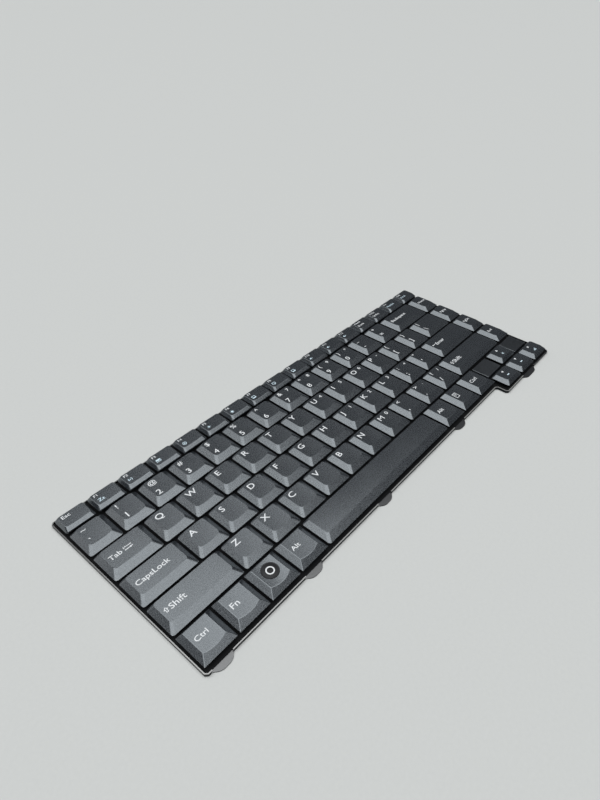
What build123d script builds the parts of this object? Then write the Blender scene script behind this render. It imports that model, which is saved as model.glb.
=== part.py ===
from build123d import *
import os
from math import asin, atan2, degrees, hypot

os.makedirs("parts", exist_ok=True)

# Driving dimensions in millimetres. X runs along the key rows, Y from front to back, Z up.

# Key field in plan. The starts are measured from the left skirt of the left-hand keys.
key_pitch = 19.0  # along the rows of letters and digits
row_pitch = 18.75  # from row to row
key_gap = 1.4  # between the skirts of neighbours
digit_start = 19.2
q_row_start = 27.6
a_row_start = 32.1
z_row_start = 41.6
backslash_width = 25.8
bottom_pitch = 19.1  # along the keys beside the space bar
arrow_clearance = 2.1  # last key of the front row to the left arrow key
arrow_pitch = 18.8
arrow_depth = 12.25
navigation_width = 14.2
function_depth = 11.15
function_count = 17

# Keycaps
cap_height = 2.1  # skirt to the rim of the top
cap_wall = 0.9
cap_roof = 1.15  # rim of the top to the ceiling inside
dish_depth = 0.25
space_crown = 0.25  # rise of the space bar's rounded top
side_inset = 2.8  # lean of the skirts of the full-size keys
front_inset = 4.0
back_inset = 1.2
small_side_inset = 2.2  # arrow and navigation keys
small_front_inset = 2.4
function_side_inset = 1.2
function_front_inset = 1.9

# Scissor mechanism, domes and stabiliser bars
key_travel = 2.5
bottom_clearance = 0.2  # skirt to membrane with the key pressed home
seat_clearance = 0.1  # levers and domes to what they bear on
lever_span = 9.6
lever_arm = 1.0
lever_bar = 1.0
lever_thickness = 0.8
lever_side_clearance = 0.2
full_lever_clearance = 1.4  # lever ends to the walls of a full-size cap, with room for a stabiliser bar
small_lever_clearance = 0.4
dome_foot = 2.5
dome_crown = 1.6
dome_side_count = 6
bar_radius = 0.4
bar_side_count = 6
bar_end_setback = 6.0  # ends of a stabiliser bar from the ends of its key
bar_leg = 7.0

# Base plate and membrane
plate_thickness = 0.5
lip_height = 1.8
lip_thickness = 0.5
plate_corner = 1.2
edge_margin = 0.9  # skirts to lip along the sides, the back and the arrow keys
front_margin = 1.7
arrow_margin = 3.05  # left arrow key to the step in the plate
membrane_thickness = 0.25
membrane_margin = 0.3
tab_width = 11.0
arrow_tab_width = 15.4
tab_shoulder = 2.2  # run of a tab's sloping ends
tab_corner = 1.2  # taken off each tip
tab_reach = 2.4
tab_places = (7.4, 62.6, 117.7, 192.8)  # middles of the tabs on the main front edge
arrow_tab_setback = 28.8  # middle of the tab at the arrow keys from the right-hand end of the keys
ribbon_slot_width = 26.0
ribbon_slot_depth = 2.4
panel_height = 2.25
panel_wall = 0.9
panel_taper_angle = 8
panel_right_setback = 1.5

# Levels
membrane_top = plate_thickness + membrane_thickness
skirt_z = membrane_top + bottom_clearance + key_travel
rim_z = skirt_z + cap_height
ceiling_z = rim_z - cap_roof
inner_share = (ceiling_z - skirt_z) / cap_height

# Plan, with the origin under the middle of the plate's outline
key_depth = row_pitch - key_gap
block_end = q_row_start + 12 * key_pitch + backslash_width
navigation_start = block_end + key_gap
field_width = navigation_start + navigation_width
arrow_start = field_width + key_gap - 3 * arrow_pitch
right_alt_start = arrow_start - arrow_clearance + key_gap - 3 * bottom_pitch
function_pitch = (field_width + key_gap) / function_count
front_row_y = -4 * row_pitch
arrow_back_y = front_row_y + key_depth
arrow_front_y = arrow_back_y - 2 * arrow_depth - key_gap
plate_back_y = row_pitch + function_depth + edge_margin + lip_thickness
plate_front_y = front_row_y - front_margin - lip_thickness
step_front_y = arrow_front_y - edge_margin - lip_thickness
step_x = arrow_start - arrow_margin - lip_thickness
plate_width = field_width + 2 * (edge_margin + lip_thickness)
middle_x = field_width / 2
middle_y = (plate_back_y + step_front_y - tab_reach) / 2


def row(names, start, pitch, front, depth=key_depth):
    """Keys of one pitch side by side: name, left edge, width, front edge, depth."""
    return [(name, start + i * pitch, pitch - key_gap, front, depth) for i, name in enumerate(names)]


def wide(name, start, end, front):
    """A key of its own width between two places in a row."""
    return [(name, start, end - start, front, key_depth)]


def after(keys):
    """Where the key that follows a run begins."""
    return keys[-1][1] + keys[-1][2] + key_gap


# Row by row from the back
function_row = row([f"function_{i}" for i in range(function_count)], 0, function_pitch, row_pitch, function_depth)

digits = row([f"digit_{i}" for i in range(12)], digit_start, key_pitch, 0)
number_row = wide("backquote", 0, digit_start - key_gap, 0) + digits + wide("backspace", after(digits), block_end, 0)

q_names = [f"{letter}_key" for letter in "qwertyuiop"] + ["left_bracket_key", "right_bracket_key"]
q_keys = row(q_names, q_row_start, key_pitch, -row_pitch)
q_row = wide("tab_key", 0, q_row_start - key_gap, -row_pitch) + q_keys
q_row += wide("backslash_key", after(q_keys), block_end, -row_pitch)

a_names = [f"{letter}_key" for letter in "asdfghjkl"] + ["semicolon_key", "quote_key"]
a_keys = row(a_names, a_row_start, key_pitch, -2 * row_pitch)
a_row = wide("caps_lock_key", 0, a_row_start - key_gap, -2 * row_pitch) + a_keys
a_row += wide("enter_key", after(a_keys), block_end, -2 * row_pitch)

z_names = [f"{letter}_key" for letter in "zxcvbnm"] + ["comma_key", "period_key", "slash_key"]
z_keys = row(z_names, z_row_start, key_pitch, -3 * row_pitch)
z_row = wide("left_shift_key", 0, z_row_start - key_gap, -3 * row_pitch) + z_keys
z_row += wide("right_shift_key", after(z_keys), block_end, -3 * row_pitch)

front_left = row(["left_ctrl_key", "fn_key", "system_key", "left_alt_key"], 0, bottom_pitch, front_row_y)
front_right = row(["right_alt_key", "menu_key", "right_ctrl_key"], right_alt_start, bottom_pitch, front_row_y)
space_row = wide("space_bar", after(front_left), right_alt_start - key_gap, front_row_y)

up_row = row(["up_arrow_key"], arrow_start + arrow_pitch, arrow_pitch, arrow_back_y - arrow_depth, arrow_depth)
arrow_names = ["left_arrow_key", "down_arrow_key", "right_arrow_key"]
arrow_row = row(arrow_names, arrow_start, arrow_pitch, arrow_front_y, arrow_depth)

navigation_column = [
    (f"navigation_{i}", navigation_start, navigation_width, -i * row_pitch, key_depth) for i in range(4)
]


def centre(key):
    """Middle of a key's skirt in the part's own frame."""
    name, left, width, front, depth = key
    return (left + width / 2 - middle_x, front + depth / 2 - middle_y)


def mechanism(key, front_lean):
    """Middle of the ceiling inside a cap, where its dome and levers stand."""
    x, y = centre(key)
    return (x, y + (front_lean - back_inset) / 2 * inner_share)


def leaning_block(width, depth, side_lean, front_lean, back_lean, top_z, dish=0, crown=0):
    """A block on the skirt level whose sides lean in, its top flat, dished or, with a crown, rounded."""
    foot_x = width / 2
    shoulder_x = foot_x - side_lean
    foot_y = depth / 2
    upright = (top_z - crown - skirt_z) / (top_z - skirt_z)
    front_y = front_lean * upright - foot_y
    back_y = foot_y - back_lean * upright
    with BuildPart() as block:
        with BuildSketch(Plane.XZ):
            with BuildLine():
                Polyline((-shoulder_x, top_z), (-foot_x, skirt_z), (foot_x, skirt_z), (shoulder_x, top_z))
                if dish > 0:
                    ThreePointArc((shoulder_x, top_z), (0, top_z - dish), (-shoulder_x, top_z))
                else:
                    Line((shoulder_x, top_z), (-shoulder_x, top_z))
            make_face()
        extrude(amount=depth, both=True)
        with BuildSketch(Plane.YZ):
            with BuildLine():
                Polyline((front_y, top_z - crown), (-foot_y, skirt_z), (foot_y, skirt_z), (back_y, top_z - crown))
                if crown > 0:
                    ThreePointArc((back_y, top_z - crown), ((front_y + back_y) / 2, top_z), (front_y, top_z - crown))
                else:
                    Line((back_y, top_z), (front_y, top_z))
            make_face()
        extrude(amount=width, both=True, mode=Mode.INTERSECT)
    return block.part


def key_cap(width, depth, side_lean, front_lean, dish=dish_depth, crown=0):
    """A hollow cap with leaning skirts of even thickness, its skirt centred on the Z axis."""
    outside = leaning_block(width, depth, side_lean, front_lean, back_inset, rim_z, dish, crown)
    inner_leans = [lean * inner_share for lean in (side_lean, front_lean, back_inset)]
    inside = leaning_block(width - 2 * cap_wall, depth - 2 * cap_wall, *inner_leans, ceiling_z)
    with BuildPart() as cap:
        add(outside)
        add(inside, mode=Mode.SUBTRACT)
    return cap.part


def lever_length(depth, front_lean, end_clearance):
    """Length of the levers that fit under the ceiling of a cap."""
    return depth - 2 * (cap_wall + end_clearance) - (front_lean + back_inset) * inner_share


def lever_tilt(length):
    """Slope in degrees at which a lever spans from the membrane to the ceiling."""
    rise = ceiling_z - membrane_top - 2 * seat_clearance
    return degrees(asin(rise / hypot(length, lever_thickness)) - atan2(lever_thickness, length))


def scissor_lever(span, length, raised_end):
    """A U-shaped lever on its pivot at the origin, with the crossbar at the raised end, +1 back or -1 front."""
    with BuildPart() as lever:
        with BuildSketch(Plane.XY.rotated((raised_end * lever_tilt(length), 0, 0))):
            Rectangle(span, length)
            with Locations((0, -raised_end * lever_bar / 2)):
                Rectangle(span - 2 * lever_arm, length - lever_bar, mode=Mode.SUBTRACT)
        extrude(amount=lever_thickness / 2, both=True)
    return lever.part


# Caps that have a node and a travel of their own
full_lean = (side_inset, front_inset)
small_lean = (small_side_inset, small_front_inset)
for key in q_row + a_row + z_row + front_left + space_row + front_right + up_row + arrow_row:
    name, left, width, front, depth = key
    with BuildPart() as cap:
        with Locations(centre(key)):
            if key in space_row:
                add(key_cap(width, depth, *full_lean, dish=0, crown=space_crown))
            elif key in up_row + arrow_row:
                add(key_cap(width, depth, *small_lean))
            else:
                add(key_cap(width, depth, *full_lean))
    cap.part.label = name
    export_step(cap.part, f"parts/{name}.step")

# Caps that share a node with the rest of their row or column
with BuildPart() as function_keys:
    with Locations(*[centre(key) for key in function_row]):
        add(key_cap(function_pitch - key_gap, function_depth, function_side_inset, function_front_inset))
function_keys.part.label = "function_keys"
export_step(function_keys.part, "parts/function_keys.step")

with BuildPart() as number_keys:
    with Locations(*[centre(key) for key in digits]):
        add(key_cap(key_pitch - key_gap, key_depth, *full_lean))
    for key in (number_row[0], number_row[-1]):
        with Locations(centre(key)):
            add(key_cap(key[2], key_depth, *full_lean))
number_keys.part.label = "number_keys"
export_step(number_keys.part, "parts/number_keys.step")

with BuildPart() as navigation_keys:
    with Locations(*[centre(key) for key in navigation_column]):
        add(key_cap(navigation_width, key_depth, small_side_inset, front_inset))
navigation_keys.part.label = "navigation_keys"
export_step(navigation_keys.part, "parts/navigation_keys.step")

# Scissor levers and domes, one set under the middle of each cap
full_keys = number_row + q_row + a_row + z_row + front_left + space_row + front_right + navigation_column
mechanisms = [
    (full_keys, front_inset, lever_length(key_depth, front_inset, full_lever_clearance)),
    (function_row, function_front_inset, lever_length(function_depth, function_front_inset, small_lever_clearance)),
    (up_row + arrow_row, small_front_inset, lever_length(arrow_depth, small_front_inset, small_lever_clearance)),
]
pivot_z = (membrane_top + ceiling_z) / 2
inner_span = lever_span - 2 * (lever_arm + lever_side_clearance)

with BuildPart() as scissor_levers:
    for keys, front_lean, length in mechanisms:
        with Locations(*[(*mechanism(key, front_lean), pivot_z) for key in keys]):
            add([scissor_lever(lever_span, length, 1), scissor_lever(inner_span, length, -1)])
scissor_levers.part.label = "scissor_levers"
export_step(scissor_levers.part, "parts/scissor_levers.step")

dome_height = ceiling_z - seat_clearance - membrane_top
with BuildPart() as dome:
    with BuildSketch(Plane.XY.offset(membrane_top)):
        RegularPolygon(dome_foot, dome_side_count, major_radius=False)
    extrude(amount=dome_height, taper=degrees(atan2(dome_foot - dome_crown, dome_height)))

with BuildPart() as rubber_domes:
    with Locations(*[mechanism(key, front_lean) for keys, front_lean, length in mechanisms for key in keys]):
        add(dome.part)
rubber_domes.part.label = "rubber_domes"
export_step(rubber_domes.part, "parts/rubber_domes.step")

# Stabiliser bars of the widest keys, clipped under the front of the cap and hinged behind
bar_front = -lever_length(key_depth, front_inset, full_lever_clearance) / 2 - 2 * bar_radius
bar_top_z = ceiling_z - seat_clearance - bar_radius
bar_foot_z = membrane_top + bar_radius
with BuildPart() as stabiliser_bars:
    for key in (number_row[-1], a_row[-1], z_row[0], z_row[-1], space_row[0]):
        x, y = mechanism(key, front_inset)
        end = key[2] / 2 - bar_end_setback
        with BuildLine():
            Polyline(
                (x - end, y + bar_front + bar_leg, bar_foot_z),
                (x - end, y + bar_front, bar_top_z),
                (x + end, y + bar_front, bar_top_z),
                (x + end, y + bar_front + bar_leg, bar_foot_z),
            )
        with BuildSketch(Plane(origin=(x, y + bar_front, bar_top_z), z_dir=(1, 0, 0))):
            RegularPolygon(bar_radius, bar_side_count)
        sweep(transition=Transition.RIGHT)
stabiliser_bars.part.label = "stabiliser_bars"
export_step(stabiliser_bars.part, "parts/stabiliser_bars.step")

# Base plate: a stamped tray with an upturned lip, which stops at the flat tabs along the front
plate_left = -plate_width / 2
plate_right = plate_width / 2
back = plate_back_y - middle_y
front = plate_front_y - middle_y
step_front = step_front_y - middle_y
step_left = step_x - middle_x
with BuildSketch() as plate_outline:
    with BuildLine():
        Polyline(
            (plate_left, back),
            (plate_right, back),
            (plate_right, step_front),
            (step_left, step_front),
            (step_left, front),
            (plate_left, front),
            close=True,
        )
    make_face()
    chamfer(plate_outline.vertices(), plate_corner)



def tab_outline(width):
    """A flat tab with sloping ends and blunted tips, its root along the X axis."""
    with BuildSketch() as tab:
        with BuildLine():
            Polyline(
                (-width / 2, lip_thickness),
                (-width / 2, 0),
                (tab_shoulder - width / 2, -tab_reach),
                (width / 2 - tab_shoulder, -tab_reach),
                (width / 2, 0),
                (width / 2, lip_thickness),
                close=True,
            )
        make_face()
        chamfer(tab.vertices().sort_by(Axis.Y)[:2], tab_corner)
    return tab.sketch


tabs = [(place - middle_x, front, tab_width) for place in tab_places]
tabs += [(middle_x - arrow_tab_setback, step_front, arrow_tab_width)]
with BuildPart() as base_plate:
    with BuildSketch():
        add(plate_outline.sketch)
        for x, edge, width in tabs:
            with Locations((x, edge)):
                add(tab_outline(width))
        Rectangle(ribbon_slot_width, ribbon_slot_depth, mode=Mode.SUBTRACT)
    extrude(amount=plate_thickness)
    with BuildSketch(Plane.XY.offset(plate_thickness)):
        add(plate_outline.sketch)
        offset(amount=-lip_thickness, mode=Mode.SUBTRACT)
        for x, edge, width in tabs:
            with Locations((x, edge)):
                Rectangle(width, 2 * lip_thickness, mode=Mode.SUBTRACT)
    extrude(amount=lip_height - plate_thickness)
base_plate.part.label = "base_plate"
export_step(base_plate.part, "parts/base_plate.step")

# Contact membrane, lying on the floor of the plate inside the lip
with BuildPart() as membrane:
    with BuildSketch(Plane.XY.offset(plate_thickness)):
        add(plate_outline.sketch)
        offset(amount=-lip_thickness - membrane_margin, mode=Mode.REPLACE)
    extrude(amount=membrane_thickness)
membrane.part.label = "membrane"
export_step(membrane.part, "parts/membrane.step")

# Blank panels on both sides of the up arrow key
left_panel = (arrow_start, arrow_pitch - key_gap)
right_panel_start = arrow_start + 2 * arrow_pitch
right_panel = (right_panel_start, field_width - panel_right_setback - right_panel_start)
panel_y = arrow_back_y - arrow_depth / 2 - middle_y
with BuildPart() as blank_panels:
    for start, width in (left_panel, right_panel):
        panel_x = start + width / 2 - middle_x
        with BuildSketch(Plane.XY.offset(membrane_top)):
            with Locations((panel_x, panel_y)):
                Rectangle(width, arrow_depth)
        extrude(amount=panel_height, taper=panel_taper_angle)
        with BuildSketch(Plane.XY.offset(membrane_top)):
            with Locations((panel_x, panel_y)):
                Rectangle(width - 2 * panel_wall, arrow_depth - 2 * panel_wall)
        extrude(amount=panel_height - panel_wall, taper=panel_taper_angle, mode=Mode.SUBTRACT)
blank_panels.part.label = "blank_panels"
export_step(blank_panels.part, "parts/blank_panels.step")
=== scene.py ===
"""A slim laptop keyboard, dressed over its solids: moulded caps with printed legends on a stamped plate."""

from math import asin, atan2, cos, hypot, pi, radians, sin

import bmesh
import bpy
from mathutils import Matrix, Vector


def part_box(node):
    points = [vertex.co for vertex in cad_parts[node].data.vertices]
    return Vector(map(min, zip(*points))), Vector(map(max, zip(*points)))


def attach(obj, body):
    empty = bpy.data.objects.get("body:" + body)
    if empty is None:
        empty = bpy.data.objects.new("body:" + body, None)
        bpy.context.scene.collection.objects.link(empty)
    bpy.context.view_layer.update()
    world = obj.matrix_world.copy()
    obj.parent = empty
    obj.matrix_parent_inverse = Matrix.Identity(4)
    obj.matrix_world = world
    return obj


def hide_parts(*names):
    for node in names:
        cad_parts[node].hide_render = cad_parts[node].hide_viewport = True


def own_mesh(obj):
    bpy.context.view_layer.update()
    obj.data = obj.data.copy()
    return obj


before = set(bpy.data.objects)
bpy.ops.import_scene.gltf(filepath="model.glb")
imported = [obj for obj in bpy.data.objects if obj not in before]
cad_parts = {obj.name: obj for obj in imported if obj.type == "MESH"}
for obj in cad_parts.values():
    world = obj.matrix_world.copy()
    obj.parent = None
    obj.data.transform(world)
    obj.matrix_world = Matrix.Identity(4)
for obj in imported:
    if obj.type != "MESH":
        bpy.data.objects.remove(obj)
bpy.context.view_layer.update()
scene = bpy.context.scene
mm = 0.001
tiny = 0.01 * mm
level = 0.9  # least upward share of the normal of a level face
smooth_angle = radians(40)

# Sizes of the keys, as the solids have them
key_gap = 1.4 * mm
digit_start = 19.2 * mm
key_pitch = 19.0 * mm
row_pitch = 18.75 * mm
key_depth = row_pitch - key_gap
cap_height = 2.1 * mm
cap_wall = 0.9 * mm
cap_roof = 1.15 * mm  # rim of the top to the ceiling inside
key_leans = {  # side, front and back skirts
    "full": (2.8 * mm, 4.0 * mm, 1.2 * mm),
    "space": (2.8 * mm, 4.0 * mm, 1.2 * mm),
    "navigation": (2.2 * mm, 4.0 * mm, 1.2 * mm),
    "arrow": (2.2 * mm, 2.4 * mm, 1.2 * mm),
    "function": (1.2 * mm, 1.9 * mm, 1.2 * mm),
}

# What the mould rounds off. The tops are flatter than the solids', since they show one even tone.
dish_depth = 0.08 * mm
disc_dish = 0.25 * mm  # the system key, round its disc
space_crown = 0.08 * mm
front_bow = 0.45 * mm  # the front edge of a top swells forward in plan
front_row_bow = 1.1 * mm  # single keys of the front row
slight_bow = 0.12 * mm  # wide keys and the function row
wide_key = 1.3 * key_pitch
dish_strips = 6
corner_round = 1.1 * mm
front_row_round = 0.18 * mm
knee_height = 0.9 * mm  # upright foot under the front slope of the function keys
ridge_drop = 0.3 * mm  # least fall of an edge that counts as a corner
rim_round = 0.2 * mm
rim_top = 0.95  # least upward share of the normal inside the rim
rim_side = (-0.2, 0.93)  # its range outside the rim


def pick(kind, test):
    """In edit mode, selects the corners, edges or faces of the piece in hand that a test accepts."""
    bpy.ops.mesh.select_mode(type=kind)
    bpy.ops.mesh.select_all(action="DESELECT")
    mesh = bmesh.from_edit_mesh(bpy.context.object.data)
    for part in {"VERT": mesh.verts, "EDGE": mesh.edges, "FACE": mesh.faces}[kind]:
        if test(part):
            part.select_set(True)
    bmesh.update_edit_mesh(bpy.context.object.data)


def edit():
    bpy.ops.object.mode_set(mode="EDIT")


def done():
    bpy.ops.object.mode_set(mode="OBJECT")


def fresh():
    """Nothing selected, so that an operator acts on the new piece alone."""
    bpy.ops.object.select_all(action="DESELECT")


def settle(piece, name):
    """Puts a piece's place into its mesh and names it."""
    bpy.ops.object.transform_apply(location=True, rotation=True, scale=True)
    piece.name = name
    piece.data.name = name
    return piece


def finish_with(piece, kind, **settings):
    """Adds one modifier and applies it."""
    modifier = piece.modifiers.new(kind.lower(), kind)
    for key, value in settings.items():
        setattr(modifier, key, value)
    bpy.context.view_layer.objects.active = piece
    bpy.ops.object.modifier_apply(modifier=modifier.name)


def copy_to(blank, name, place):
    """A copy of a modelled blank with a mesh of its own, moved to its place."""
    piece = blank.copy()
    piece.data = blank.data.copy()
    piece.data.transform(Matrix.Translation(place))
    piece.name = name
    piece.data.name = name
    scene.collection.objects.link(piece)
    return piece


def joined(pieces, name):
    """Several pieces made one."""
    fresh()
    for piece in pieces:
        piece.select_set(True)
    bpy.context.view_layer.objects.active = pieces[0]
    if len(pieces) > 1:
        bpy.ops.object.join()
    pieces[0].name = name
    pieces[0].data.name = name
    return pieces[0]


def linear(hex_colour):
    """An sRGB hex colour as the linear colour that a shader takes."""
    levels = [int(hex_colour[i : i + 2], 16) / 255 for i in (1, 3, 5)]
    return (*[v / 12.92 if v <= 0.04045 else ((v + 0.055) / 1.055) ** 2.4 for v in levels], 1.0)


def material(name):
    """A new material, its node tree and its principled shader."""
    made = bpy.data.materials.new(name)
    made.use_nodes = True
    tree = made.node_tree
    return made, tree, tree.nodes["Principled BSDF"]


def node(tree, kind, inputs, **settings):
    """Adds a node with its settings; an input takes a value or another node's output."""
    made = tree.nodes.new(kind)
    for key, value in settings.items():
        setattr(made, key, value)
    for key, value in inputs.items():
        if isinstance(value, bpy.types.NodeSocket):
            tree.links.new(value, made.inputs[key])
        else:
            made.inputs[key].default_value = value
    return made


# ABS moulded in a spark-eroded tool: an even matt charcoal skin of shallow pits, which scatters the light
# into a broad soft sheen and shows as a fine speckle. The pits are 0.1 mm across, drawn at 0.55 mm to show.
def textured_abs(name, dark, pale, smooth, rough):
    made, tree, shader = material(name)
    place = node(tree, "ShaderNodeTexCoord", {}).outputs["Object"]
    grain = node(
        tree,
        "ShaderNodeTexNoise",
        {"Vector": place, "Scale": 1 / (0.55 * mm), "Detail": 3.0, "Roughness": 0.65},
    ).outputs["Fac"]
    speckle = node(
        tree, "ShaderNodeMapRange", {"Value": grain, "From Min": 0.35, "From Max": 0.65}
    ).outputs["Result"]
    colour = node(
        tree, "ShaderNodeMix", {"Factor": speckle, "A": linear(dark), "B": linear(pale)}, data_type="RGBA"
    ).outputs["Result"]
    handling = node(
        tree, "ShaderNodeTexNoise", {"Vector": place, "Scale": 1 / (11 * mm), "Detail": 2.0}
    ).outputs["Fac"]
    matt = node(
        tree, "ShaderNodeMix", {"Factor": 0.5, "A": speckle, "B": handling}, data_type="FLOAT"
    ).outputs["Result"]
    sheen = node(
        tree, "ShaderNodeMapRange", {"Value": matt, "To Min": smooth, "To Max": rough}
    ).outputs["Result"]
    pits = node(
        tree, "ShaderNodeBump", {"Height": grain, "Strength": 0.4, "Distance": 0.05 * mm}
    ).outputs["Normal"]
    gleam = node(
        tree, "ShaderNodeMapRange", {"Value": speckle, "To Min": 0.72, "To Max": 1.0}
    ).outputs["Result"]
    tree.links.new(colour, shader.inputs["Base Color"])
    tree.links.new(sheen, shader.inputs["Roughness"])
    tree.links.new(gleam, shader.inputs["Specular IOR Level"])
    tree.links.new(pits, shader.inputs["Normal"])
    shader.inputs["IOR"].default_value = 1.85
    shader.inputs["Specular Tint"].default_value = linear("#f3faff")
    return made


# Two-part pad-printing ink: flat and bright, a little uneven in cover.
def printing_ink(name, thin, full):
    made, tree, shader = material(name)
    place = node(tree, "ShaderNodeTexCoord", {}).outputs["Object"]
    cover = node(
        tree, "ShaderNodeTexNoise", {"Vector": place, "Scale": 1 / (0.5 * mm), "Detail": 2.0}
    ).outputs["Fac"]
    colour = node(
        tree, "ShaderNodeMix", {"Factor": cover, "A": linear(thin), "B": linear(full)}, data_type="RGBA"
    ).outputs["Result"]
    tree.links.new(colour, shader.inputs["Base Color"])
    shader.inputs["Roughness"].default_value = 0.5
    return made


# Cold-rolled steel, stamped and dip-painted black: a smooth satin film with slight orange peel on the flat.
# Painted shade: walls and cut edges reflect less the more they face sideways, which darkens them.
# Painted highlight: a pale line along the top edge of the lip, fainter towards the back and ending
# before the right-hand end, where the edge lies in shade.
def painted_steel():
    lip_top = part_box("base_plate")[1].z
    # Heights over which the pale painted highlight grows in at the top of the lip
    highlight_foot, highlight_full = lip_top - 0.14 * mm, lip_top - 0.06 * mm
    highlight_end, highlight_gone = 127 * mm, 128 * mm  # where the painted highlight ends, along the plate to the right
    highlight_front, highlight_back = -45 * mm, 35 * mm  # the painted highlight fades between them
    made, tree, shader = material("black_dipped_steel")
    place = node(tree, "ShaderNodeTexCoord", {}).outputs["Object"]
    parts = node(tree, "ShaderNodeSeparateXYZ", {"Vector": place}).outputs
    along, back, height = parts["X"], parts["Y"], parts["Z"]
    normal = node(tree, "ShaderNodeNewGeometry", {}).outputs["True Normal"]
    upward = node(tree, "ShaderNodeSeparateXYZ", {"Vector": normal}).outputs["Z"]
    # Painted shade: walls and cut edges reflect less the more they face sideways, which darkens them
    shaded_gloss = node(
        tree,
        "ShaderNodeMapRange",
        {"Value": upward, "From Min": 0.2, "From Max": 0.9, "To Min": 0.06, "To Max": 0.9},
    ).outputs["Result"]
    patches = node(
        tree, "ShaderNodeTexNoise", {"Vector": place, "Scale": 1 / (6 * mm), "Detail": 3.0}
    ).outputs["Fac"]
    # The lip's top edge, where the pale painted highlight lies
    edge = node(
        tree, "ShaderNodeMapRange", {"Value": height, "From Min": highlight_foot, "From Max": highlight_full}
    ).outputs["Result"]
    # Painted highlight: kept up to near the right-hand end, cut off beyond it where the edge lies in shade
    highlight_reach = node(
        tree,
        "ShaderNodeMapRange",
        {"Value": along, "From Min": highlight_end, "From Max": highlight_gone, "To Min": 1.0, "To Max": 0.0},
    ).outputs["Result"]
    # Painted highlight: fainter towards the back
    highlight_fade = node(
        tree,
        "ShaderNodeMapRange",
        {"Value": back, "From Min": highlight_front, "From Max": highlight_back, "To Min": 0.62, "To Max": 0.12},
    ).outputs["Result"]
    highlight_reach = node(tree, "ShaderNodeMath", {0: highlight_reach, 1: highlight_fade}, operation="MULTIPLY").outputs["Value"]
    edge = node(tree, "ShaderNodeMath", {0: edge, 1: highlight_reach}, operation="MULTIPLY").outputs["Value"]
    film = node(
        tree,
        "ShaderNodeMix",
        {"Factor": patches, "A": linear("#141518"), "B": linear("#1c1e21")},
        data_type="RGBA",
    ).outputs["Result"]
    # The black film, with the pale painted highlight along the lip's top edge
    colour = node(
        tree, "ShaderNodeMix", {"Factor": edge, "A": film, "B": linear("#a9a9a6")}, data_type="RGBA"
    ).outputs["Result"]
    peel = node(
        tree, "ShaderNodeTexNoise", {"Vector": place, "Scale": 1 / (0.8 * mm), "Detail": 1.0}
    ).outputs["Fac"]
    ripple = node(
        tree, "ShaderNodeBump", {"Height": peel, "Strength": 0.2, "Distance": 0.05 * mm}
    ).outputs["Normal"]
    tree.links.new(colour, shader.inputs["Base Color"])
    tree.links.new(ripple, shader.inputs["Normal"])
    shader.inputs["Roughness"].default_value = 0.3
    tree.links.new(shaded_gloss, shader.inputs["Specular IOR Level"])
    shader.inputs["IOR"].default_value = 1.8
    return made


# Polyester film printed with carbon ink: dark and dull, with faint patches in the print.
def contact_film():
    made, tree, shader = material("printed_polyester_film")
    place = node(tree, "ShaderNodeTexCoord", {}).outputs["Object"]
    patches = node(
        tree, "ShaderNodeTexNoise", {"Vector": place, "Scale": 1 / (4 * mm), "Detail": 2.0}
    ).outputs["Fac"]
    colour = node(
        tree,
        "ShaderNodeMix",
        {"Factor": patches, "A": linear("#08090a"), "B": linear("#0e0f11")},
        data_type="RGBA",
    ).outputs["Result"]
    tree.links.new(colour, shader.inputs["Base Color"])
    shader.inputs["Roughness"].default_value = 0.75
    shader.inputs["IOR"].default_value = 1.58
    shader.inputs["Specular IOR Level"].default_value = 0.15
    return made


# Plain mouldings with a faint cloudiness: silicone domes, acetal levers and the glossy disc of one key.
def plain_moulding(name, dark, pale, roughness, ior):
    made, tree, shader = material(name)
    place = node(tree, "ShaderNodeTexCoord", {}).outputs["Object"]
    cloud = node(
        tree, "ShaderNodeTexNoise", {"Vector": place, "Scale": 1 / (2 * mm), "Detail": 2.0}
    ).outputs["Fac"]
    colour = node(
        tree, "ShaderNodeMix", {"Factor": cloud, "A": linear(dark), "B": linear(pale)}, data_type="RGBA"
    ).outputs["Result"]
    tree.links.new(colour, shader.inputs["Base Color"])
    shader.inputs["Roughness"].default_value = roughness
    shader.inputs["IOR"].default_value = ior
    return made


# Drawn spring wire: bright, with fine lines along its length.
def spring_wire():
    made, tree, shader = material("drawn_spring_wire")
    place = node(tree, "ShaderNodeTexCoord", {}).outputs["Object"]
    stretched = node(
        tree, "ShaderNodeMapping", {"Vector": place, "Scale": (0.05, 1.0, 1.0)}
    ).outputs["Vector"]
    lines = node(tree, "ShaderNodeTexNoise", {"Vector": stretched, "Scale": 1 / (0.15 * mm)}).outputs["Fac"]
    sheen = node(
        tree, "ShaderNodeMapRange", {"Value": lines, "To Min": 0.22, "To Max": 0.42}
    ).outputs["Result"]
    tree.links.new(sheen, shader.inputs["Roughness"])
    shader.inputs["Base Color"].default_value = linear("#a7a9ab")
    shader.inputs["Metallic"].default_value = 1.0
    return made


cap_finish = textured_abs("charcoal_abs_spark_eroded", "#1d2024", "#303337", 0.22, 0.34)
panel_finish = textured_abs("black_abs_fine_texture", "#101215", "#191b1f", 0.25, 0.37)
white_ink = printing_ink("white_pad_ink", "#cfd2d4", "#f2f3f4")
blue_ink = printing_ink("pale_blue_pad_ink", "#c2dbe8", "#e2f0f6")
plate_finish = painted_steel()
film_finish = contact_film()
dome_finish = plain_moulding("translucent_silicone", "#8d9091", "#a9acad", 0.5, 1.41)
lever_finish = plain_moulding("natural_acetal", "#4a4b4d", "#5a5b5d", 0.45, 1.48)
wire_finish = spring_wire()
disc_finish = plain_moulding("black_glossy_abs", "#0e0f11", "#141518", 0.3, 1.4)


def finished(piece, finish, body="frame"):
    """Gives a piece its material and slot, and seats it on a body."""
    piece.data.materials.clear()
    piece.data.materials.append(finish)
    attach(piece, body)
    return piece


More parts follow.
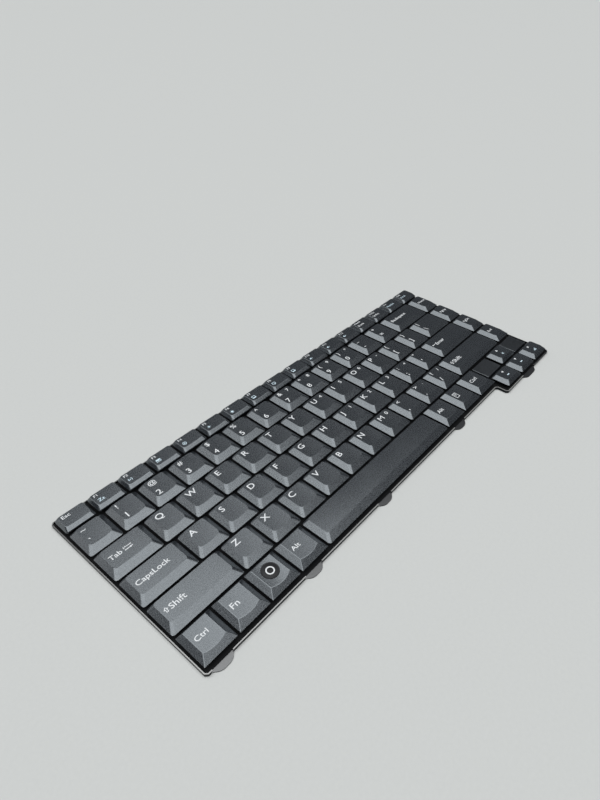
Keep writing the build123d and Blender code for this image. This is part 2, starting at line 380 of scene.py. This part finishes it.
# Every key: its node, its body, its form and the corners of its skirt and rim
keys = {}


def add_key(name, cad_node, body, form, low, high):
    keys[name] = {"node": cad_node, "body": body, "form": form, "low": Vector(low), "high": Vector(high)}


for cad_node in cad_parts:
    if cad_node.endswith("_key") or cad_node == "space_bar":
        form = "space" if cad_node == "space_bar" else "arrow" if "arrow" in cad_node else "full"
        add_key(cad_node, cad_node, cad_node, form, *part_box(cad_node))

low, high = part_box("function_keys")
function_names = ["escape"] + [f"f{i}" for i in range(1, 13)] + ["pause", "print_screen", "insert", "delete"]
function_pitch = (high.x - low.x + key_gap) / len(function_names)
for i, name in enumerate(function_names):
    left = low.x + i * function_pitch
    right = left + function_pitch - key_gap
    add_key(name, "function_keys", "frame", "function", (left, low.y, low.z), (right, high.y, high.z))

low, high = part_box("number_keys")
digit_names = [f"digit_{i}" for i in "1234567890"] + ["minus", "equals"]
add_key("back_quote", "number_keys", "frame", "full", low, (low.x + digit_start - key_gap, high.y, high.z))
for i, name in enumerate(digit_names):
    left = low.x + digit_start + i * key_pitch
    right = left + key_pitch - key_gap
    add_key(name, "number_keys", "frame", "full", (left, low.y, low.z), (right, high.y, high.z))
backspace_left = low.x + digit_start + len(digit_names) * key_pitch
add_key("backspace", "number_keys", "frame", "full", (backspace_left, low.y, low.z), high)

low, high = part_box("navigation_keys")
for i, name in enumerate(["home", "page_up", "page_down", "end"]):
    back = high.y - i * row_pitch
    foot, rim = (low.x, back - key_depth, low.z), (high.x, back, high.z)
    add_key(name, "navigation_keys", "frame", "navigation", foot, rim)


def moulded_cap(width, depth, form, bow, dish, corner):
    """One hollow cap, its skirt centred on the origin: a block drawn in at the top, dished and rounded."""
    side, front, back = key_leans[form]
    crown = space_crown if form == "space" else 0.0
    height = cap_height - crown
    share = height / cap_height
    fresh()
    bpy.ops.mesh.primitive_cube_add(size=1, location=(0, 0, height / 2), scale=(width, depth, height))
    cap = settle(bpy.context.object, "cap_blank")
    edit()
    pick("FACE", lambda f: f.normal.z < -level)
    bpy.ops.mesh.delete(type="FACE")
    pick("FACE", lambda f: f.normal.z > level)
    narrowed = (1 - 2 * side * share / width, 1 - (front + back) * share / depth, 1)
    bpy.ops.transform.resize(value=narrowed, center_override=(0, 0, height))
    bpy.ops.transform.translate(value=(0, (front - back) / 2 * share, 0))

    # The short keys of the function row stand on an upright foot
    if form == "function":
        pick(
            "EDGE",
            lambda e: max(v.co.y for v in e.verts) < 0
            and abs(e.verts[0].co.z - e.verts[1].co.z) > height / 2,
        )
        bpy.ops.mesh.subdivide(number_cuts=1)
        pick("VERT", lambda v: abs(v.co.z - height / 2) < tiny)
        spread = (width / 2 - side * knee_height / height) / (width / 2 - side / 2)
        bpy.ops.transform.resize(value=(spread, 1, 1), center_override=(0, 0, 0))
        bpy.ops.transform.translate(value=(0, -front / 2, knee_height - height / 2))

    # The top in strips, sunk along the middle or raised on the space bar, its ends sliding along the skirts
    axis = 1 if form == "space" else 0
    pick(
        "EDGE",
        lambda e: min(v.co.z for v in e.verts) > height / 2
        and abs(e.verts[0].co[axis] - e.verts[1].co[axis]) > tiny,
    )
    bpy.ops.mesh.subdivide(number_cuts=dish_strips - 1)
    half = (depth - (front + back) * share) / 2 if form == "space" else width / 2 - side
    middle = (front - back) / 2 * share if form == "space" else 0.0
    across = 0.0 if form == "space" else (front - back) / 2
    for i in range(1, dish_strips):
        spot = half * (2 * i / dish_strips - 1)
        swell = 1 - (spot / half) ** 2
        sink = (-crown if form == "space" else dish) * swell
        for end in (-1, 1):
            lean = side if form == "space" else front if end < 0 else back
            pick(
                "VERT",
                lambda v: v.co.z > height / 2
                and abs(v.co[axis] - middle - spot) < tiny
                and (v.co[1 - axis] - across) * end > 0,
            )
            slide = end * sink * lean / cap_height
            if form != "space" and end < 0:
                slide -= bow * swell
            bpy.ops.transform.translate(value=(slide, 0, -sink) if form == "space" else (0, slide, -sink))
    done()
    finish_with(cap, "SOLIDIFY", thickness=cap_wall, offset=-1, use_even_offset=True)

    # Round corners, then a round rim
    def outside(v):
        at_foot = v.co.z < tiny and abs(v.co.x) > width / 2 - tiny
        at_knee = abs(v.co.z - knee_height) < tiny and v.co.y < -depth / 2 + tiny
        return v.co.z > height - tiny or (abs(v.co.y) > depth / 2 - tiny and at_foot) or at_knee

    edit()
    pick("VERT", lambda v: v.co.z < -tiny)  # the wall's inner edge is brought up level with the skirt
    bpy.ops.transform.resize(value=(1, 1, 0), center_override=(0, 0, 0))
    pick("EDGE", lambda e: all(map(outside, e.verts)) and abs(e.verts[0].co.z - e.verts[1].co.z) > ridge_drop)
    bpy.ops.mesh.bevel(offset=corner, segments=4, affect="EDGES", clamp_overlap=True)
    pick(
        "EDGE",
        lambda e: len(e.link_faces) == 2
        and max(f.normal.z for f in e.link_faces) > rim_top
        and rim_side[0] < min(f.normal.z for f in e.link_faces) < rim_side[1],
    )
    bpy.ops.mesh.bevel(offset=rim_round, segments=3, affect="EDGES", clamp_overlap=True)
    done()
    bpy.ops.object.shade_smooth_by_angle(angle=smooth_angle)
    finish_with(cap, "WEIGHTED_NORMAL", keep_sharp=True)
    return cap


front_row_words = ("left_ctrl", "fn", "system", "left_alt", "right_alt", "menu", "right_ctrl")
front_row = [f"{word}_key" for word in front_row_words]
cap_blanks = {}
caps = {}
for name, key in keys.items():
    size = key["high"] - key["low"]
    bow = front_bow
    if size.x > wide_key or key["form"] == "function":
        bow = slight_bow
    elif name in front_row:
        bow = front_row_bow
    dish = disc_dish if name == "system_key" else dish_depth
    corner = front_row_round if name in front_row else corner_round
    blank = (key["form"], round(size.x / mm, 2), bow, dish, corner)
    if blank not in cap_blanks:
        cap_blanks[blank] = moulded_cap(size.x, size.y, key["form"], bow, dish, corner)
    middle = (key["low"] + key["high"]) / 2
    cap = copy_to(cap_blanks[blank], f"{name}_cap", (middle.x, middle.y, key["low"].z))
    caps[name] = finished(cap, cap_finish, key["body"])
    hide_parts(key["node"])
for blank in cap_blanks.values():
    bpy.data.objects.remove(blank)

# Legends. Places are in millimetres from the back left corner of a cap's top, to the right and forward,
# to the top left of the capitals; sizes are the capitals' height, or the scale of a mark.
letter_place, letter_size = (1.2, 1.3), 3.45
upper_place, upper_size = (1.3, 0.8), 2.9
lower_place, lower_size = (1.3, 7.9), 3.4
pad_place, pad_size = (8.4, 1.3), 2.4
word_place = (1.2, 4.7)
capital_share = 0.73  # of the font's size
print_lift = 0.012 * mm  # the ink's thickness
letter_stretch = 1.2  # the legends are set wide
stroke_share = 0.012  # of the size, by which strokes are widened all round
crossing_outlines = "M4"  # would fill up if they were widened

# Marks drawn as closed outlines in millimetres; an outline inside another is a hole
shift_mark = [
    [(1.1, 2.4), (2.2, 1.2), (1.6, 1.2), (1.6, 0), (0.6, 0), (0.6, 1.2), (0, 1.2)],
    [(1.1, 1.98), (1.58, 1.46), (1.34, 1.46), (1.34, 0.26), (0.86, 0.26), (0.86, 1.46), (0.62, 1.46)],
]
enter_mark = [[(0, 0.9), (1.0, 1.6), (1.0, 1.08), (3.0, 1.08), (3.0, 0.72), (1.0, 0.72), (1.0, 0.2)]]
tab_mark = [
    [(0, 2.4), (0.3, 2.4), (0.3, 1.85), (1.2, 2.4), (1.2, 2.05), (3.8, 2.05), (3.8, 1.65), (1.2, 1.65),
     (1.2, 1.3), (0.3, 1.85), (0.3, 1.3), (0, 1.3)],
    [(3.8, 1.1), (3.5, 1.1), (3.5, 0.55), (2.6, 1.1), (2.6, 0.75), (0, 0.75), (0, 0.35), (2.6, 0.35),
     (2.6, 0), (3.5, 0.55), (3.5, 0), (3.8, 0)],
]
menu_mark = [
    [(0, 0), (3.2, 0), (3.2, 4.2), (0, 4.2)],
    [(0.35, 0.35), (2.85, 0.35), (2.85, 3.85), (0.35, 3.85)],
    [(0.75, 3.1), (2.45, 3.1), (2.45, 3.4), (0.75, 3.4)],
    [(0.75, 2.3), (2.45, 2.3), (2.45, 2.6), (0.75, 2.6)],
    [(0.75, 1.5), (1.6, 1.5), (1.6, 1.8), (0.75, 1.8)],
]
left_mark = [[(0, 0.9), (1.6, 1.8), (1.6, 0)]]
right_mark = [[(1.6, 0.9), (0, 0), (0, 1.8)]]
up_mark = [[(0.9, 1.7), (1.8, 0), (0, 0)]]
down_mark = [[(0.9, 0), (0, 1.7), (1.8, 1.7)]]
bar_mark = [[(0, 0), (2.2, 0), (2.2, 0.7), (0, 0.7)]]
bars_mark = [[(0, 0), (0.6, 0), (0.6, 0.8), (0, 0.8)], [(0.9, 0), (1.5, 0), (1.5, 1.3), (0.9, 1.3)],
             [(1.8, 0), (2.4, 0), (2.4, 1.8), (1.8, 1.8)]]
screen_mark = [
    [(0, 0.5), (2.6, 0.5), (2.6, 2.2), (0, 2.2)],
    [(0.3, 0.8), (2.3, 0.8), (2.3, 1.9), (0.3, 1.9)],
    [(0.7, 0), (1.9, 0), (1.9, 0.25), (0.7, 0.25)],
]
pad_mark = [
    [(0, 0), (2.6, 0), (2.6, 2.2), (0, 2.2)],
    [(0.3, 0.75), (2.3, 0.75), (2.3, 1.9), (0.3, 1.9)],
]
mail_mark = [
    [(0, 0.2), (2.7, 0.2), (2.7, 2.1), (0, 2.1)],
    [(0.3, 0.5), (2.4, 0.5), (2.4, 1.45), (1.35, 0.8), (0.3, 1.45)],
]
speaker = [(0, 0.7), (0.6, 0.7), (1.3, 0.1), (1.3, 2.1), (0.6, 1.5), (0, 1.5)]
quiet_mark = [speaker, [(1.6, 1.35), (2.6, 0.85), (2.7, 1.05), (1.7, 1.55)]]
softer_mark = [speaker, [(1.7, 0.97), (2.6, 0.97), (2.6, 1.23), (1.7, 1.23)]]
plus = [(1.7, 0.97), (2.02, 0.97), (2.02, 0.65), (2.28, 0.65), (2.28, 0.97), (2.6, 0.97),
        (2.6, 1.23), (2.28, 1.23), (2.28, 1.55), (2.02, 1.55), (2.02, 1.23), (1.7, 1.23)]
louder_mark = [speaker, plus]
mark_x, mark_y = 1.2, 1.1  # middle of the round marks


def ring_of(radius, count):
    """Points of a regular outline round the middle of a mark."""
    angles = [2 * pi * i / count for i in range(count)]
    return [(mark_x + radius * cos(angle), mark_y + radius * sin(angle)) for angle in angles]


def sun_mark(radius):
    """A disc with eight short rays."""
    near, far, half = radius + 0.2, radius + 0.5, 0.11
    corners = ((near, half), (far, half), (far, -half), (near, -half))
    rays = []
    for i in range(8):
        x, y = cos(pi * i / 4), sin(pi * i / 4)
        rays.append([(mark_x + out * x - aside * y, mark_y + out * y + aside * x) for out, aside in corners])
    return [ring_of(radius, 16)] + rays


globe_mark = [ring_of(1.15, 20), ring_of(0.85, 20), ring_of(0.4, 12)]
wave_mark = [
    ring_of(0.35, 10),
    [(0.35, 2.1), (0.6, 1.9), (0.35, 1.1), (0.6, 0.3), (0.35, 0.1), (0, 1.1)],
    [(2.05, 2.1), (1.8, 1.9), (2.05, 1.1), (1.8, 0.3), (2.05, 0.1), (2.4, 1.1)],
]

legends = {}
for letter in "qwertyuiopasdfghjklzxcvbnm":
    legends[f"{letter}_key"] = [(letter.upper(), letter_place, letter_size, white_ink)]
for letter, digit in zip("uiojklmp", "4561230-"):
    legends[f"{letter}_key"].append((digit, pad_place, pad_size, white_ink))
for name, upper, lower in (
    ("back_quote", "~", "`"),
    *[(f"digit_{digit}", upper, digit) for digit, upper in zip("1234567890", "!@#$%^&*()")],
    ("minus", "_", "-"),
    ("equals", "+", "="),
    ("left_bracket_key", "{", "["),
    ("right_bracket_key", "}", "]"),
    ("backslash_key", "|", "\\"),
    ("semicolon_key", ":", ";"),
    ("quote_key", '"', "'"),
    ("comma_key", "<", ","),
    ("period_key", ">", "."),
    ("slash_key", "?", "/"),
):
    legends[name] = [(upper, upper_place, upper_size, white_ink), (lower, lower_place, lower_size, white_ink)]
for name, pad in (
    ("digit_7", "7"), ("digit_8", "8"), ("digit_9", "9"), ("digit_0", "*"), ("semicolon_key", "+"),
    ("slash_key", "/"), ("period_key", "."),
):
    legends[name].append((pad, pad_place, pad_size, white_ink))
for name, word, size in (
    ("tab_key", "Tab", 2.6), ("caps_lock_key", "CapsLock", 2.7), ("left_ctrl_key", "Ctrl", 2.5),
    ("fn_key", "Fn", 2.95), ("left_alt_key", "Alt", 2.5), ("right_alt_key", "Alt", 2.5),
    ("right_ctrl_key", "Ctrl", 2.5), ("backspace", "Backspace", 2.4),
):
    legends[name] = [(word, word_place, size, white_ink)]
for name in ("left_shift_key", "right_shift_key"):
    legends[name] = [(shift_mark, (1.2, 4.7), 1.1, white_ink), ("Shift", (4.0, 4.6), 2.9, white_ink)]
legends["tab_key"].append((tab_mark, (8.9, 5.0), 1.1, white_ink))
legends["enter_key"] = [(enter_mark, (0.8, 5.0), 1.0, white_ink), ("Enter", (4.4, 4.8), 2.5, white_ink)]
legends["menu_key"] = [(menu_mark, (1.6, 3.6), 1.0, white_ink)]
for name, word in (("home", "Home"), ("page_up", "PgUp"), ("page_down", "PgDn"), ("end", "End")):
    legends[name] = [(word, (1.0, 4.9), 1.9, white_ink)]
for name, mark, second in (
    ("up_arrow_key", up_mark, sun_mark(0.5)), ("left_arrow_key", left_mark, bar_mark),
    ("down_arrow_key", down_mark, bar_mark), ("right_arrow_key", right_mark, bars_mark),
):
    legends[name] = [(mark, (4.6, 1.2), 1.0, white_ink), (second, (4.8, 5.6), 1.0, blue_ink)]
legends["escape"] = [("Esc", (1.3, 0.7), 2.1, white_ink)]
function_marks = [
    "Zz", wave_mark, mail_mark, globe_mark, sun_mark(0.5), sun_mark(0.75), pad_mark, screen_mark, pad_mark,
    quiet_mark, softer_mark, louder_mark,
]
for i, mark in enumerate(function_marks, 1):
    size = 2.0 if mark == "Zz" else 1.0
    legends[f"f{i}"] = [(f"F{i}", (1.3, 0.7), 1.6, white_ink), (mark, (1.7, 4.2), size, blue_ink)]
for name, first, second, ink in (
    ("pause", "Pause", "Break", white_ink), ("print_screen", "PrtSc", "SysRq", white_ink),
    ("insert", "Ins", "NumLk", blue_ink), ("delete", "Del", "ScrLk", blue_ink),
):
    legends[name] = [(first, (1.2, 0.7), 1.6, white_ink), (second, (1.2, 4.0), 1.6, ink)]


def printed(content, x, y, z, size):
    """One word or mark as a flat mesh, with the top left of its capitals at x, y."""
    fresh()
    if isinstance(content, str):
        bpy.ops.object.text_add(location=(x, y - size * mm, z))
        text = bpy.context.object.data
        text.body = content
        text.size = size * mm / capital_share
        text.resolution_u = 3
        text.offset = 0 if set(content) & set(crossing_outlines) else stroke_share * size * mm
        bpy.context.object.scale.x = letter_stretch
    else:
        top = max(point[1] for outline in content for point in outline)
        curve = bpy.data.curves.new("mark", "CURVE")
        curve.dimensions = "2D"
        curve.fill_mode = "BOTH"
        for outline in content:
            spline = curve.splines.new("POLY")
            spline.points.add(len(outline) - 1)
            for point, (px, py) in zip(spline.points, outline):
                point.co = (px * size * mm, (py - top) * size * mm, 0, 1)
            spline.use_cyclic_u = True
        mark = bpy.data.objects.new("mark", curve)
        mark.location = (x, y, z)
        scene.collection.objects.link(mark)
        mark.select_set(True)
        bpy.context.view_layer.objects.active = mark
    bpy.ops.object.convert(target="MESH")
    return settle(bpy.context.object, "print")


def lie_on(piece, cap, lift):
    """Lays a flat print on the curved top of its cap."""
    finish_with(
        piece,
        "SHRINKWRAP",
        target=cap,
        wrap_method="PROJECT",
        use_project_z=True,
        use_negative_direction=True,
        use_positive_direction=False,
        offset=lift,
    )


for name, prints in legends.items():
    key = keys[name]
    side, front, back = key_leans[key["form"]]
    left, rear = key["low"].x + side, key["high"].y - back
    for ink, word in ((white_ink, "legend"), (blue_ink, "second_legend")):
        flat = [
            printed(content, left + x * mm, rear - y * mm, key["high"].z + mm, size)
            for content, (x, y), size, colour in prints
            if colour == ink
        ]
        if flat:
            legend = joined(flat, f"{name}_{word}")
            lie_on(legend, caps[name], print_lift)
            finished(legend, ink, key["body"])

# The system key's plain glossy disc with one ring
disc_radius = 4.3 * mm
disc_depth = 0.5 * mm
disc_sink = 0.04 * mm  # below the rim of the cap
disc_rim = 0.25 * mm
groove_width = 0.5 * mm
groove_depth = 0.06 * mm
disc_rise = 0.05 * mm  # of its middle, from the groove
disc_edge = 0.08 * mm
ring_radii = (2.1, 1.5)  # in millimetres
ring_lift = 0.02 * mm
key = keys["system_key"]
side, front, back = key_leans["full"]
middle = (key["low"] + key["high"]) / 2
disc_y = middle.y + (front - back) / 2
disc_z = key["high"].z - disc_sink - disc_depth / 2
fresh()
bpy.ops.mesh.primitive_cylinder_add(
    vertices=48, radius=disc_radius, depth=disc_depth, location=(middle.x, disc_y, disc_z)
)
disc = settle(bpy.context.object, "system_key_disc")
edit()
pick("FACE", lambda f: f.normal.z > level)
bpy.ops.mesh.inset(thickness=disc_rim)
bpy.ops.transform.translate(value=(0, 0, -groove_depth))
bpy.ops.mesh.inset(thickness=groove_width)
bpy.ops.transform.translate(value=(0, 0, disc_rise))
done()
finish_with(disc, "BEVEL", width=disc_edge, segments=2, limit_method="ANGLE", angle_limit=radians(50))
bpy.ops.object.shade_smooth_by_angle(angle=smooth_angle)
finished(disc, disc_finish, "system_key")
ring = printed([ring_of(radius, 40) for radius in ring_radii], 0, 0, 0, 1.0)
ring_low, ring_high = (Vector(f(v.co[i] for v in ring.data.vertices) for i in range(3)) for f in (min, max))
above_disc = Vector((middle.x, disc_y, key["high"].z + mm))
ring.data.transform(Matrix.Translation(above_disc - (ring_low + ring_high) / 2))
lie_on(ring, disc, ring_lift)
ring.name = "system_key_ring"
finished(ring, white_ink, "system_key")

# The mechanism under each cap: a silicone dome and a crossed pair of levers
membrane_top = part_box("membrane")[1].z
skirt = key["low"].z  # the same for every key
ceiling = skirt + cap_height - cap_roof
inner_share = (ceiling - skirt) / cap_height  # of a skirt's lean, reached at the ceiling
seat = 0.1 * mm
lever_span = 9.6 * mm
lever_nesting = 2.4 * mm  # by which the inner lever is narrower
lever_arm = 1.0 * mm
lever_thickness = 0.8 * mm
lever_clearance = {"full": 1.4 * mm, "arrow": 0.4 * mm, "function": 0.4 * mm}
dome_rings = [  # radius and height from the foot, in millimetres
    (2.5, 0.0), (2.5, 0.4), (1.9, 2.2), (1.6, 2.8), (1.6, 3.55),
]
dome_lip = 0.6 * mm
dome_hollow = 0.25 * mm  # in its top


def silicone_dome():
    """A dome turned up from a disc, on the membrane at the origin."""
    fresh()
    bpy.ops.mesh.primitive_circle_add(
        vertices=12, radius=dome_rings[0][0] * mm, fill_type="NGON", location=(0, 0, membrane_top)
    )
    dome = settle(bpy.context.object, "dome_blank")
    edit()
    bpy.ops.mesh.select_mode(type="FACE")
    bpy.ops.mesh.select_all(action="SELECT")
    for (radius, height), (wider, lower) in zip(dome_rings[1:], dome_rings):
        bpy.ops.mesh.extrude_region_move(TRANSFORM_OT_translate={"value": (0, 0, (height - lower) * mm)})
        bpy.ops.transform.resize(
            value=(radius / wider, radius / wider, 1), center_override=(0, 0, membrane_top + height * mm)
        )
    bpy.ops.mesh.inset(thickness=dome_lip)
    bpy.ops.transform.translate(value=(0, 0, -dome_hollow))
    bpy.ops.mesh.select_all(action="SELECT")
    bpy.ops.mesh.normals_make_consistent(inside=False)
    done()
    bpy.ops.object.shade_smooth_by_angle(angle=radians(35))
    return dome


def acetal_lever(span, length, raised_end):
    """A U-shaped lever, tilted about its middle at the origin, with its crossbar raised: 1 back, -1 front."""
    pivot = (membrane_top + ceiling) / 2
    fresh()
    bpy.ops.mesh.primitive_plane_add(size=1, location=(0, 0, pivot))
    lever = bpy.context.object
    lever.scale = (span, length, 1)
    settle(lever, "lever_blank")
    edit()
    bpy.ops.mesh.select_mode(type="FACE")
    bpy.ops.mesh.select_all(action="SELECT")
    bpy.ops.mesh.inset(thickness=lever_arm)
    bpy.ops.mesh.delete(type="FACE")
    pick("FACE", lambda f: f.calc_center_median().y * raised_end < -length / 2 + lever_arm)
    bpy.ops.mesh.delete(type="FACE")
    pick("VERT", lambda v: abs(v.co.x) < span / 2 - tiny and v.co.y * raised_end < 0)
    bpy.ops.transform.translate(value=(0, -raised_end * lever_arm, 0))
    done()
    finish_with(lever, "SOLIDIFY", thickness=lever_thickness, offset=0)
    rise = ceiling - membrane_top - 2 * seat
    tilt = asin(rise / hypot(length, lever_thickness)) - atan2(lever_thickness, length)
    turn = Matrix.Rotation(raised_end * tilt, 4, "X")
    lever.data.transform(Matrix.Translation((0, 0, pivot)) @ turn @ Matrix.Translation((0, 0, -pivot)))
    return lever


def lever_length(form, depth):
    """The length that fits between the front and back walls of a cap, with clearance, at its ceiling."""
    side, front, back = key_leans[form]
    return depth - 2 * (cap_wall + lever_clearance[form]) - (front + back) * inner_share


lever_blanks = {}
for form in ("full", "arrow", "function"):
    example = next(k for k in keys.values() if k["form"] == form)
    length = lever_length(form, example["high"].y - example["low"].y)
    pair = [acetal_lever(lever_span, length, 1), acetal_lever(lever_span - lever_nesting, length, -1)]
    lever_blanks[form] = joined(pair, f"{form}_levers_blank")
dome_blank = silicone_dome()

still_levers, still_domes = [], []
for name, key in keys.items():
    side, front, back = key_leans[key["form"]]
    middle = (key["low"] + key["high"]) / 2
    place = (middle.x, middle.y + (front - back) / 2 * inner_share, 0)
    levers = copy_to(lever_blanks.get(key["form"], lever_blanks["full"]), f"{name}_levers", place)
    dome = copy_to(dome_blank, f"{name}_dome", place)
    if key["body"] == "frame":
        still_levers.append(levers)
        still_domes.append(dome)
        continue
    for piece, finish, slot, cad_node in (
        (levers, lever_finish, "lever_plastic", "scissor_levers"),
        (dome, dome_finish, "dome_rubber", "rubber_domes"),
    ):
        finished(piece, finish)
        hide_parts(cad_node)
        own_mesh(piece)
levers = finished(joined(still_levers, "fixed_row_levers"), lever_finish)
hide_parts("scissor_levers")
domes = finished(joined(still_domes, "fixed_row_domes"), dome_finish)
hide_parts("rubber_domes")
for blank in (dome_blank, *lever_blanks.values()):
    bpy.data.objects.remove(blank)

# Stabiliser bars of the widest keys, bent from wire
bar_radius = 0.4 * mm
bar_leg = 7.0 * mm
bar_setback = 6.0 * mm
side, front, back = key_leans["full"]
bar_front = -lever_length("full", key_depth) / 2 - 2 * bar_radius
for name in ("backspace", "enter_key", "left_shift_key", "right_shift_key", "space_bar"):
    key = keys[name]
    middle = (key["low"] + key["high"]) / 2
    y = middle.y + (front - back) / 2 * inner_share + bar_front
    end = (key["high"].x - key["low"].x) / 2 - bar_setback
    top, foot = ceiling - seat - bar_radius, membrane_top + bar_radius
    fresh()
    curve = bpy.data.curves.new(f"{name}_bar", "CURVE")
    curve.dimensions = "3D"
    curve.bevel_depth = bar_radius
    curve.bevel_resolution = 2
    curve.use_fill_caps = True
    spline = curve.splines.new("POLY")
    route = [
        (middle.x - end, y + bar_leg, foot),
        (middle.x - end, y, top),
        (middle.x + end, y, top),
        (middle.x + end, y + bar_leg, foot),
    ]
    spline.points.add(len(route) - 1)
    for point, spot in zip(spline.points, route):
        point.co = (*spot, 1)
    bar = bpy.data.objects.new(f"{name}_bar", curve)
    scene.collection.objects.link(bar)
    bar.select_set(True)
    bpy.context.view_layer.objects.active = bar
    bpy.ops.object.convert(target="MESH")
    bpy.ops.object.shade_smooth_by_angle(angle=smooth_angle)
    finished(bar, wire_finish)
    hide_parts("stabiliser_bars")
    if key["body"] != "frame":
        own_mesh(bar)

# Plate and panels: their solids with the sharp edges broken
plate_thickness = 0.5 * mm
plate_edge = 0.12 * mm
panel_edge = 0.2 * mm
tab_tip_round = 0.9 * mm
sharp_angle = radians(30)


def softened(cad_node, name, finish, width, round_off=None):
    """A copy of a CAD node, merged, with its edges rounded."""
    piece = bpy.data.objects.new(name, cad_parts[cad_node].data.copy())
    scene.collection.objects.link(piece)
    fresh()
    piece.select_set(True)
    bpy.context.view_layer.objects.active = piece
    edit()
    bpy.ops.mesh.select_all(action="SELECT")
    bpy.ops.mesh.remove_doubles(threshold=tiny)
    bpy.ops.mesh.dissolve_limited(angle_limit=radians(1))
    if round_off:
        pick("EDGE", round_off[0])
        bpy.ops.mesh.bevel(offset=round_off[1], segments=4, affect="EDGES", clamp_overlap=True)
    done()
    finish_with(piece, "BEVEL", width=width, segments=2, limit_method="ANGLE", angle_limit=sharp_angle)
    bpy.ops.object.shade_smooth_by_angle(angle=sharp_angle)
    finish_with(piece, "WEIGHTED_NORMAL", keep_sharp=True)
    finished(piece, finish)
    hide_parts(cad_node)
    return piece


def at_tab_tip(edge):
    """Upright edges round the ends of the tabs, which are no higher than the floor of the plate."""
    heights = [v.co.z for v in edge.verts]
    return min(heights) < tiny and 0.8 * plate_thickness < max(heights) < 1.2 * plate_thickness


tab_tips = (at_tab_tip, tab_tip_round)
softened("base_plate", "plate", plate_finish, plate_edge, round_off=tab_tips)
softened("blank_panels", "panels", panel_finish, panel_edge)
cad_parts["membrane"].data.materials.clear()
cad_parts["membrane"].data.materials.append(film_finish)

# Floor of matt pale paper with a faint mottle of its fibres, soft light from overhead, and the camera
fresh()
bpy.ops.mesh.primitive_plane_add(size=8, location=(0, 0, 0))
floor = settle(bpy.context.object, "floor")
made, tree, shader = material("pale_paper_floor")
place = node(tree, "ShaderNodeTexCoord", {}).outputs["Object"]
fibre = node(
    tree, "ShaderNodeTexNoise", {"Vector": place, "Scale": 1 / (1.5 * mm), "Detail": 2.0}
).outputs["Fac"]
tone = node(
    tree, "ShaderNodeMix", {"Factor": fibre, "A": linear("#c4c5c3"), "B": linear("#c9cac8")}, data_type="RGBA"
).outputs["Result"]
tree.links.new(tone, shader.inputs["Base Color"])
shader.inputs["Roughness"].default_value = 0.9
floor.data.materials.append(made)

light = bpy.data.objects.new("overhead_softbox", bpy.data.lights.new("overhead_softbox", "SUN"))
light.data.angle = radians(88)
light.data.energy = 3.25
light.data.color = (0.97, 0.99, 1.0)
light.rotation_euler = (radians(2.6), radians(-8.6), 0)
scene.collection.objects.link(light)
fill = bpy.data.objects.new("rear_fill", bpy.data.lights.new("rear_fill", "SUN"))
fill.data.angle = radians(35)
fill.data.energy = 0.25
fill_from = Vector((-0.495, 0.752, 0.436))  # behind on the left
fill.rotation_euler = fill_from.to_track_quat("Z", "Y").to_euler()
scene.collection.objects.link(fill)

world = bpy.data.worlds.new("dim_room")
world.use_nodes = True
world.node_tree.nodes["Background"].inputs["Color"].default_value = (0.04, 0.041, 0.042, 1)
scene.world = world

camera = bpy.data.objects.new("camera", bpy.data.cameras.new("camera"))
camera.data.lens = 26.52
camera.data.sensor_width = 36.0
camera.data.clip_start = 0.01
camera.location = (-0.20873, -0.14176, 0.22580)
camera.rotation_euler = (radians(50.35), radians(-1.07), radians(-49.04))
scene.collection.objects.link(camera)
scene.camera = camera
scene.view_settings.view_transform = "Standard"
